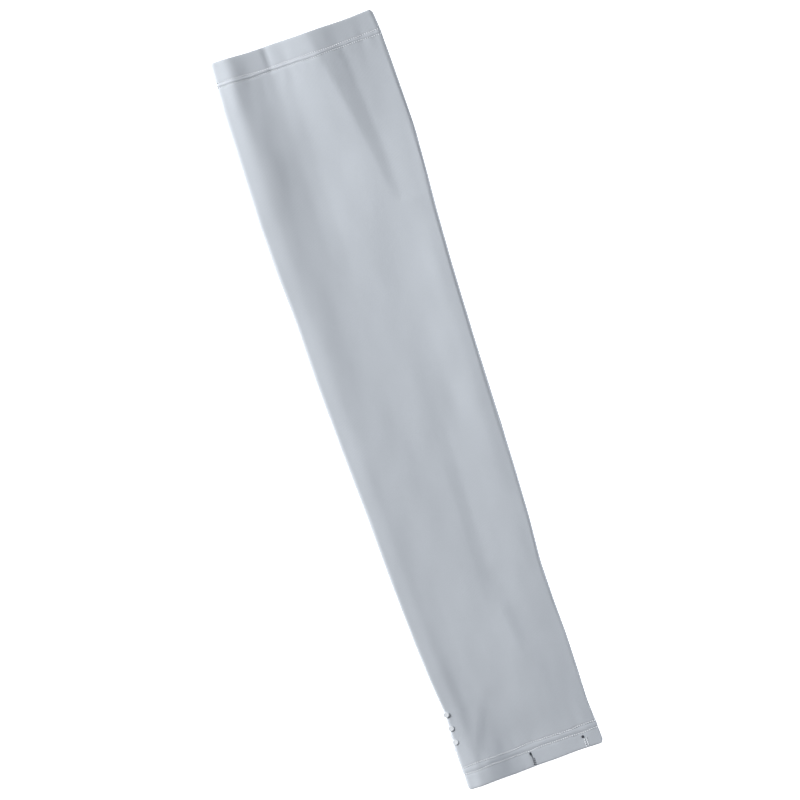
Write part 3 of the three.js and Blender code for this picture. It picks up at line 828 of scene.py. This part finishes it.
def grained_material(name, tone, grain_per_metre, variation, bump, roughness, sheen=0.0, specular=0.3):
    material, tree, shader = start_material(name, roughness, specular, sheen)
    grain = add_group(tree, fine_grain, {
        "Tone": tone, "Grain Per Metre": grain_per_metre, "Variation": variation,
    })
    colour_and_bump(tree, shader, grain.outputs["Color"], grain.outputs["Height"], bump, 0.0001)
    return material


thread_finish = grained_material("light_thread", (0.78, 0.80, 0.83, 1.0), grain_per_metre=3200.0,
                                 variation=0.5, bump=0.4, roughness=0.55, sheen=0.3)
dark_thread_finish = grained_material("dark_thread", (0.030, 0.036, 0.048, 1.0), grain_per_metre=3200.0,
                                      variation=0.8, bump=0.4, roughness=0.6, sheen=0.2)
print("thread materials:", thread_finish.name, dark_thread_finish.name)

# %% [markdown]
# ## Stitches
#
# One stitch is modelled by hand: a small ball, turned on its side and cut flat below. Its copies are
# drawn out into grains of thread and laid along lines on the cloth. Each copy takes three directions:
# along the thread, across it, and out of the cloth.

# %% One stitch, and a row of copies
bpy.ops.object.select_all(action="DESELECT")
bpy.ops.mesh.primitive_uv_sphere_add(segments=8, ring_count=6, radius=0.5)
stitch = bpy.context.object
stitch.name = "one_stitch"
bpy.ops.object.mode_set(mode="EDIT")
bpy.ops.mesh.select_all(action="SELECT")
bpy.ops.transform.rotate(value=math.pi / 2, orient_axis="Y", center_override=(0, 0, 0))
bpy.ops.mesh.bisect(plane_co=(0, 0, -0.3), plane_no=(0, 0, 1), clear_inner=True, use_fill=True)
bpy.ops.object.mode_set(mode="OBJECT")

# The cut leaves the corners and faces in no set order, so they are sorted: each run is the same.
stitch_corners = np.array([v.co for v in stitch.data.vertices])
order = np.lexsort(stitch_corners.round(5).T)
stitch_corners = stitch_corners[order]
new_number = np.argsort(order).tolist()
stitch_faces = []
for polygon in stitch.data.polygons:
    face = [new_number[k] for k in polygon.vertices]
    first = face.index(min(face))
    stitch_faces.append(tuple(face[first:] + face[:first]))
stitch_faces.sort()
bpy.data.objects.remove(stitch)
print("one stitch has", len(stitch_faces), "faces")


def stitch_row(places, directions, outwards, length, width, height):
    """Corners and faces of stitches at given places, lying along given directions."""
    lengthwise = unit(directions)
    sideways = unit(np.cross(outwards, lengthwise))
    shape = stitch_corners * np.array([length, width, height])
    corners = places[:, None, :]
    for k, axis in enumerate((lengthwise, sideways, outwards)):
        corners = corners + shape[None, :, k, None] * axis[:, None, :]
    faces = []
    for i in range(len(places)):
        start = i * len(stitch_corners)
        faces += [tuple(start + k for k in face) for face in stitch_faces]
    return corners.reshape(-1, 3), faces


def merge_rows(name, parts, material):
    """One piece from several pairs of corners and faces."""
    corners, faces = [], []
    for part_corners, part_faces in parts:
        start = len(corners)
        corners += list(part_corners)
        faces += [tuple(start + k for k in face) for face in part_faces]
    piece = make_piece(name, corners, faces)
    piece.data.materials.append(material)
    return piece


def line_of_stitches(along, running, pitch, length, width, height, off=0.0, slant=0.0):
    """Stitches evenly spaced on a line over the cloth, each lying along the line or slanted to it."""
    along = np.asarray(along, float)
    running = np.asarray(running, float)
    points, _ = on_cloth(along, running)
    gone = gone_along(points)
    marks = np.arange(pitch / 2, gone[-1], pitch)
    here_along = np.interp(marks, gone, along)
    here_running = np.interp(marks, gone, running)
    bare, _ = on_cloth(here_along, here_running)
    lift_off = relief(here_along, here_running, bare) + off
    places, outwards = on_cloth(here_along, here_running, lift_off)
    places[:, 2] = np.maximum(places[:, 2], TABLE_GAP + 0.5 * height)
    ahead = np.stack([np.interp(marks + 0.2, gone, points[:, k]) for k in range(3)], axis=1)
    behind = np.stack([np.interp(marks - 0.2, gone, points[:, k]) for k in range(3)], axis=1)
    direction = unit(ahead - behind)
    if slant:
        direction = direction * math.cos(slant) + np.cross(outwards, direction) * math.sin(slant)
    return stitch_row(places, direction, outwards, length, width, height)


# %% Coverstitch rows round both hems
ARM_STITCH = dict(pitch=1.36, length=0.72, width=0.50, height=0.45, off=0.15)
HAND_STITCH = dict(pitch=1.36, length=0.72, width=0.66, height=0.55, off=0.20)


def round_tube(distance_along, row):
    along = np.full(700, distance_along / SLEEVE_LENGTH)
    running = np.linspace(0, 1, 700) * total_round(along)
    return along + stray(along, running, row) / SLEEVE_LENGTH, running


hem_rows = []
for row, place in enumerate(ARM_ROWS):
    hem_rows.append(line_of_stitches(*round_tube(place, row), **ARM_STITCH))
for row, place in enumerate(HAND_ROWS, start=2):
    hem_rows.append(line_of_stitches(*round_tube(SLEEVE_LENGTH - place, row), **HAND_STITCH))
hem_stitches = merge_rows("hem_stitches", hem_rows, thread_finish)
print("hem stitches:", sum(len(f) for _, f in hem_rows) // len(stitch_faces))

# %% [markdown]
# ## Strips laid on the cloth
#
# The flatlock seam and the welt are narrow bands on the palm side. Each is a ribbon that follows the
# cloth: an outer face with softly rounded sides, and an inner face sunk a little into the knit.

# %% Ribbon helper
def ribbon(name, stations, edges, steps, off, thickness, roundness=6.0):
    """A closed band on the cloth between two running lengths, with rounded sides."""
    stations = np.asarray(stations, float)
    shares = 0.5 - 0.5 * np.cos(np.linspace(0, np.pi, steps + 1))
    profile = (1 - np.abs(2 * shares - 1) ** roundness) ** 0.5
    starts, ends = edges(stations)
    places = starts[:, None] + (ends - starts)[:, None] * shares[None, :]
    along = np.repeat(stations[:, None], steps + 1, axis=1)
    outer, _ = on_cloth(along, places, off + thickness * profile[None, :] * np.ones_like(along))
    inner, _ = on_cloth(along[:, 1:-1], places[:, 1:-1], off * np.ones_like(along[:, 1:-1]))
    rings = np.concatenate([outer, inner[:, ::-1]], axis=1)
    count = rings.shape[1]
    flat = np.concatenate([places, places[:, -2:0:-1]], axis=1)
    corners = rings.reshape(-1, 3)
    faces, cloth_map = [], []
    gone = gone_along(outer[:, steps // 2])
    for i in range(len(stations) - 1):
        for j in range(count):
            k = (j + 1) % count
            faces.append((i * count + j, (i + 1) * count + j, (i + 1) * count + k, i * count + k))
            for a, b in ((i, j), (i + 1, j), (i + 1, k), (i, k)):
                cloth_map.append((flat[a, b], gone[a]))
    faces.append(tuple(range(count)))
    cloth_map += [(flat[0, j], gone[0]) for j in range(count)]
    last = (len(stations) - 1) * count
    faces.append(tuple(last + j for j in range(count))[::-1])
    cloth_map += [(flat[-1, j], gone[-1]) for j in range(count)][::-1]
    return make_piece(name, corners, faces, cloth_map)


# The seam's inset is measured flat, and the solids' sloping edge makes the running length longer by this.
CORNER_EXTRA = math.hypot(EDGE_RUN, SOLID_EDGE_HEIGHT) - EDGE_RUN
BODY_FROM = ARM_HEM_DEPTH / SLEEVE_LENGTH
BODY_TO = float(from_hand(HAND_HEM_DEPTH))

# %% Flatlock seam
seam_middle = SEAM_INSET + CORNER_EXTRA + EDGE_EXTRA


def seam_edges(along):
    half_width = np.full_like(along, SEAM_WIDTH / 2)
    return seam_middle - half_width, seam_middle + half_width


seam_stations = np.linspace(BODY_FROM, BODY_TO, 220)
seam_band = ribbon("seam_band", seam_stations, seam_edges, 10, -STRIP_SINK, SEAM_THICKNESS)
seam_band.data.materials.append(cloth_finish)

# two rows of threads that lie across the band, slanting towards each other
SEAM_STITCH = dict(pitch=1.34, length=2.9, width=0.62, height=0.5, off=0.40)
seam_parts = []
seam_along = np.linspace(BODY_FROM, BODY_TO, 300)
for side in (-1, 1):
    line = np.full(300, seam_middle + side * SEAM_WIDTH * 0.25)
    slant = math.radians(90 - side * 8)
    seam_parts.append(line_of_stitches(seam_along, line, **SEAM_STITCH, slant=slant))
seam_threads = merge_rows("seam_threads", seam_parts, thread_finish)
print("seam stitches:", sum(len(f) for _, f in seam_parts) // len(stitch_faces))

# %% [markdown]
# The welt is a strip of the same knit, folded double. It leaves the seam above the slot, runs along the
# slot's bowed lip and ends in the hand hem. A double row of dark thread holds it at each end of the slot.

# %% Welt
WELT_FROM = float(from_hand(WELT_TOP))
seam_inner_side = seam_middle + SEAM_WIDTH / 2 + 0.3


def welt_edges(along):
    lip, _ = slot_lips(along)
    above = np.clip((SLOT_FROM - along) / (SLOT_FROM - WELT_FROM), 0, 1)
    below = np.clip((along - SLOT_TO) / (BODY_TO - SLOT_TO), 0, 1)
    towards_seam = blend(lip, seam_inner_side + WELT_TIP_WIDTH, above)
    slot_side = blend(towards_seam, WELT_HEM_INSET + EDGE_EXTRA, below)
    width = blend(blend(WELT_WIDTH, WELT_TIP_WIDTH, above), WELT_HEM_WIDTH, below)
    return np.maximum(slot_side - width, seam_inner_side), slot_side


welt_stations = np.linspace(WELT_FROM, BODY_TO, 90)
welt = ribbon("welt_fold", welt_stations, welt_edges, 12, -STRIP_SINK, WELT_THICKNESS, roundness=8.0)
welt.data.materials.append(cloth_finish)
print("welt faces:", len(welt.data.polygons))

# %% Dark tacks
TACK = dict(pitch=0.8, length=1.0, width=0.42, height=0.4)


def across_welt(distance):
    """A line across the welt that goes half a millimetre past both its sides."""
    along = np.full(30, float(from_hand(distance)))
    start, end = welt_edges(along[:1])
    return along, np.linspace(start[0] - 0.5, end[0] + 0.5, 30)


tack_parts = []
for distance in (SLOT_ARM_END - 0.6, SLOT_ARM_END + 1.4, SLOT_HAND_END - 1.4, SLOT_HAND_END + 0.6):
    tack_parts.append(line_of_stitches(*across_welt(distance), **TACK, off=0.98))

# two short tacks at the hem: one across the seam, one across the welt's edge
at_hem = np.full(20, float(from_hand(HAND_HEM_DEPTH + 1.0)))
across_seam = (seam_middle - SEAM_WIDTH / 2 - 0.3, seam_middle + SEAM_WIDTH / 2 + 0.3)
welt_side = welt_edges(at_hem[:1])[1][0]
for (start, end), off in ((across_seam, 0.62), ((welt_side - 2.6, welt_side + 0.8), 0.95)):
    tack_parts.append(line_of_stitches(at_hem, np.linspace(start, end, 20), **TACK, off=off))
welt_tacks = merge_rows("welt_tacks", tack_parts, dark_thread_finish)
print("tacks:", len(tack_parts))

# %% Light stitches beside the slot and along the welt
SLOT_STITCH = dict(pitch=1.5, length=1.1, width=0.36, height=0.3)
WELT_STITCH = dict(pitch=1.5, length=1.0, width=0.34, height=0.3)
beside = np.linspace(SLOT_FROM + 0.004, SLOT_TO - 0.004, 120)
edge_parts = [line_of_stitches(beside, slot_lips(beside)[1] + 2.2, **SLOT_STITCH)]
below_slot = np.linspace(SLOT_TO + 0.006, BODY_TO - 0.002, 60)
above_slot = np.linspace(WELT_FROM + 0.006, SLOT_FROM - 0.002, 60)
for along, share, off in ((below_slot, 0.12, 0.95), (below_slot, 0.88, 0.95), (above_slot, 0.88, 0.9)):
    edge_parts.append(line_of_stitches(along, blend(*welt_edges(along), share), **WELT_STITCH, off=off))
edge_stitches = merge_rows("edge_stitches", edge_parts, thread_finish)
print("rows of edge stitches:", len(edge_parts))

# %% [markdown]
# ## Grip dots
#
# The dots are printed silicone: low discs with a raised rim and a shallow dimple. One is modelled from a
# cylinder by insets and a bevel, then copied to its places on a slanting grid.

# %% One dot
DOT_DIAMETER = 3.4
DOT_HEIGHT = 0.7
bpy.ops.object.select_all(action="DESELECT")
bpy.ops.mesh.primitive_cylinder_add(vertices=20, radius=DOT_DIAMETER / 2, depth=DOT_HEIGHT,
                                    location=(0, 0, DOT_HEIGHT / 2))
dot = bpy.context.object
bpy.ops.object.mode_set(mode="EDIT")
bpy.ops.mesh.select_all(action="DESELECT")
bpy.ops.object.mode_set(mode="OBJECT")
for face in dot.data.polygons:
    face.select = face.normal.z > 0.9
bpy.ops.object.mode_set(mode="EDIT")
bpy.ops.mesh.inset(thickness=0.22, depth=0.0)
bpy.ops.mesh.inset(thickness=0.36, depth=0.03)
bpy.ops.mesh.inset(thickness=0.36, depth=-0.05)
bpy.ops.mesh.inset(thickness=0.30, depth=0.0)
bpy.ops.mesh.select_all(action="SELECT")
bpy.ops.object.mode_set(mode="OBJECT")
bpy.ops.object.transform_apply(location=True, rotation=False, scale=False)
apply_modifier(dot, "BEVEL", width=0.28, segments=3, limit_method="ANGLE", angle_limit=math.radians(40))
dot_corners = np.array([v.co for v in dot.data.vertices])
dot_corners[:, 2] *= DOT_HEIGHT / dot_corners[:, 2].max()
dot_faces = [tuple(f.vertices) for f in dot.data.polygons]
bpy.data.objects.remove(dot)
print("one dot has", len(dot_faces), "faces")

# %% The field of dots
# row (counted towards the hand from the edge dot's row), first step, how many
DOT_ROWS = [
    (-8, 5, 1), (-7, 4, 2), (-6, 3, 4), (-5, 3, 3), (-5, 9, 1), (-4, 7, 3),
    (-3, 5, 4), (-2, 0, 8), (-1, 0, 7), (0, 0, 6), (1, 1, 4), (2, 2, 2),
]
PALM_FIELD = HAND_WIDTH - WELT_HEM_INSET - 12.0
ROW_STEP = (4.4, 0.08 * PALM_FIELD)
DOT_STEP = (3.9, 0.069 * PALM_FIELD)
EDGE_DOT = (45.6, 0.8)
DOT_SINK = (0.42, 0.2)  # how deep an edge dot and a palm dot sit in the knit

dot_places = []
for row, first, dots in DOT_ROWS:
    for step in range(first, first + dots):
        hand = EDGE_DOT[0] - row * ROW_STEP[0] - step * DOT_STEP[0]
        inset = step * DOT_STEP[1] - row * ROW_STEP[1] - EDGE_DOT[1]
        dot_places.append((hand, inset))
dot_places = np.array(dot_places)
dot_along = from_hand(dot_places[:, 0])
# An edge dot lies past the turn of the cloth, on its upper side, so it faces up more than its seat does.
at_edge = dot_places[:, 1] < 0
dot_shift = np.interp(dot_places[:, 0], (29.0, EDGE_DOT[0]), (1.5, 1.9))
under_edge = np.clip(dot_places[:, 1] / quarter_arc(EDGE_RUN, SOLID_EDGE_HEIGHT), 0, 1)
dot_running = far_edge(dot_along) - dot_places[:, 1] - EDGE_EXTRA * under_edge
dot_running += np.where(at_edge, dot_shift, 0)
seats, _ = on_cloth(dot_along, dot_running, -np.where(at_edge, *DOT_SINK))
beside_dot = [on_cloth(dot_along, dot_running + step)[1] for step in (0, 0.8, 1.6)]
dot_parts = []
for seat, out in zip(seats, unit(np.sum(beside_dot, axis=0))):
    side = unit(np.cross(out, (0, 1, 0)))
    dot_parts.append((seat + dot_corners @ np.array([side, np.cross(out, side), out]), dot_faces))

dot_finish = grained_material("milky_silicone", (0.64, 0.67, 0.71, 1.0), grain_per_metre=900.0,
                              variation=0.12, bump=0.15, roughness=0.42, specular=0.5)
set_inputs(dot_finish.node_tree.nodes["Principled BSDF"], {
    "Subsurface Weight": 0.15, "Subsurface Radius": (MM, MM, MM),
})
grip_dots = merge_rows("grip_dots", dot_parts, dot_finish)
print("grip dots:", len(dot_parts))

# %% [markdown]
# ## Label tape
#
# A short dark woven tape is caught inside the hand hem, under the back of the hand. Seen from above only
# its two stitched ends show: a dark tack at one, and a dark dot with pale stitches at the other. The tape
# is plain.

# %% Tape and its tacks
LABEL_WIDTH = 31.8
LABEL_DEPTH = 7.0
LABEL_SETBACK = 1.5
LABEL_CENTRE = 14.4
LABEL_THICKNESS = 0.5
label_left = LABEL_CENTRE - LABEL_WIDTH / 2
label_right = LABEL_CENTRE + LABEL_WIDTH / 2
label_along = from_hand(np.linspace(LABEL_SETBACK + LABEL_DEPTH, LABEL_SETBACK, 14))


def label_edges(along):
    return running_at(along, label_left), running_at(along, label_right)


label_off = -2 * LIP - 0.65  # just inside the turned-in hem
label = ribbon("label_tape", label_along, label_edges, 40, label_off, LABEL_THICKNESS, roundness=40.0)


def woven_material(name, tone):
    material, tree, shader = start_material(name, roughness=0.7, specular=0.5, sheen=0.0)
    twill = tree.nodes.new("ShaderNodeTexWave")
    twill.bands_direction = "DIAGONAL"
    twill.inputs["Scale"].default_value = 0.7
    tree.links.new(cloth_map_node(tree), twill.inputs["Vector"])
    grain = add_group(tree, fine_grain, {"Tone": tone, "Grain Per Metre": 1800.0, "Variation": 0.5})
    lightness = maths(tree, "ADD", maths(tree, "MULTIPLY", twill.outputs["Fac"], 0.6), 0.7)
    colour = lightened(tree, grain.outputs["Color"], lightness)
    colour_and_bump(tree, shader, colour, twill.outputs["Fac"], 0.6, 0.0002)
    return material


label.data.materials.append(woven_material("navy_woven_tape", (0.024, 0.033, 0.050, 1.0)))


def up_the_hem(x, low, high):
    along = from_hand(np.linspace(high, low, 20))
    return along, running_at(along, x)


# place across, then the distances from the hand mouth that a row starts and ends at, and its stitches
DARK_ROWS = [
    (label_left - 0.5, 6.8, 8.6, dict(pitch=0.8, length=1.2, width=1.3, height=0.5, off=0.1)),
    (label_left - 0.1, 0.7, 7.0, dict(pitch=1.25, length=1.05, width=0.55, height=0.45, off=0.1)),
    (label_left + 0.8, 0.7, 5.2, dict(pitch=1.25, length=0.9, width=0.42, height=0.4, off=0.08)),
    (label_right - 0.1, 6.7, 7.7, dict(pitch=0.6, length=1.2, width=1.6, height=0.5, off=0.1)),
]
PALE_STITCH = dict(pitch=1.3, length=0.8, width=0.6, height=0.5, off=0.15)
PALE_ROWS = [(label_right + 0.3, 0.8, 5.8, PALE_STITCH), (label_right + 1.7, 0.8, 6.4, PALE_STITCH)]


def rows_on_hem(table):
    return [line_of_stitches(*up_the_hem(x, low, high), **stitches) for x, low, high, stitches in table]


label_tacks = merge_rows("label_tacks", rows_on_hem(DARK_ROWS), dark_thread_finish)
label_pale_stitches = merge_rows("label_pale_stitches", rows_on_hem(PALE_ROWS), thread_finish)
print("label:", LABEL_WIDTH, "by", LABEL_DEPTH, "mm, rows at its ends:", len(DARK_ROWS) + len(PALE_ROWS))

# %% [markdown]
# ## What stands for what
#
# Each new piece rides on the one body of this part, and stands for the solids whose place it takes.

# %% Riding and replacing
for piece, material_slot in (
    (cloth, "knit"), (hem_stitches, "thread"), (seam_band, "knit"), (seam_threads, "thread"),
    (welt, "knit"), (welt_tacks, "label"), (edge_stitches, "thread"), (grip_dots, "silicone"),
    (label, "label"), (label_tacks, "label"), (label_pale_stitches, "thread"),
):
    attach(piece, "root")

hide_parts("sleeve_body", "arm_hem", "hand_hem")
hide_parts("flatlock_seam")
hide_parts("thumb_welt")
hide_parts("inner_label")
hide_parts(*[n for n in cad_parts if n.startswith("grip_dot_")])
